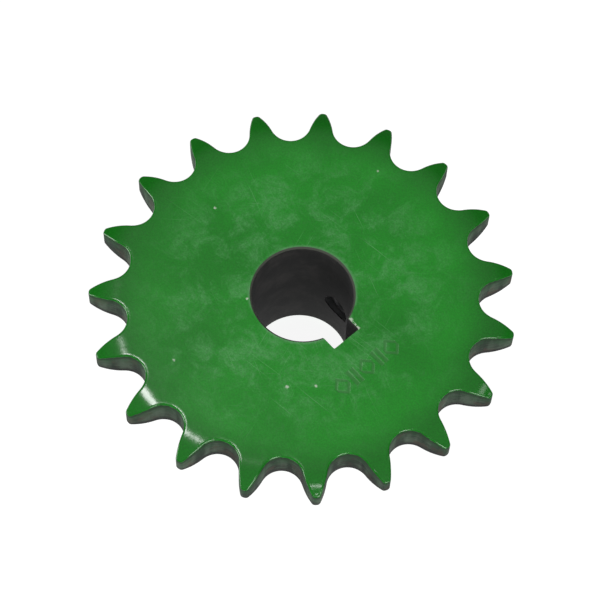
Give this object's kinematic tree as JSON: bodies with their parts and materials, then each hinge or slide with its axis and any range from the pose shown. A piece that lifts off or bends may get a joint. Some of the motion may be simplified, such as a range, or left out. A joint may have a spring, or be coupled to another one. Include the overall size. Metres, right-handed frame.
{
  "type": "chain sprocket",
  "caption": "Plate wheel for roller chain with a welded hub on one side, a keyed through bore and cup-point set screws, painted on the front.",
  "frame": {"origin": "on the bore's axis, in the middle of the tooth width (the chain line)", "axes": "+Z along the bore out of the front face, away from the hub; +X through the middle of the keyway and of one tooth; +Y through the set screw a quarter turn from the keyway"},
  "size_m": [0.104, 0.1044, 0.0401],
  "materials": {
    "green_paint": "glossy green enamel, with the cut sides of the teeth left dark",
    "hub_paint": "glossy green enamel outside, bare machined steel in the bore",
    "weld_paint": "green enamel over a rippled weld",
    "screw_steel": "black oxide, slightly oily"
  },
  "bodies": {
    "wheel": {"toothed_plate": "green_paint", "hub": "hub_paint", "weld_bead": "weld_paint"},
    "key_screw": {"key_set_screw": "screw_steel"},
    "side_screw": {"side_set_screw": "screw_steel"}
  },
  "joints": [
    {"name": "key_screw_travel", "type": "slide", "parent": "wheel", "child": "key_screw", "axis": [1, 0, 0], "range_m": [-0.00125, 0.00625]},
    {"name": "side_screw_travel", "type": "slide", "parent": "wheel", "child": "side_screw", "axis": [0, 1, 0], "range_m": [-0.00125, 0.00875]}
  ]
}
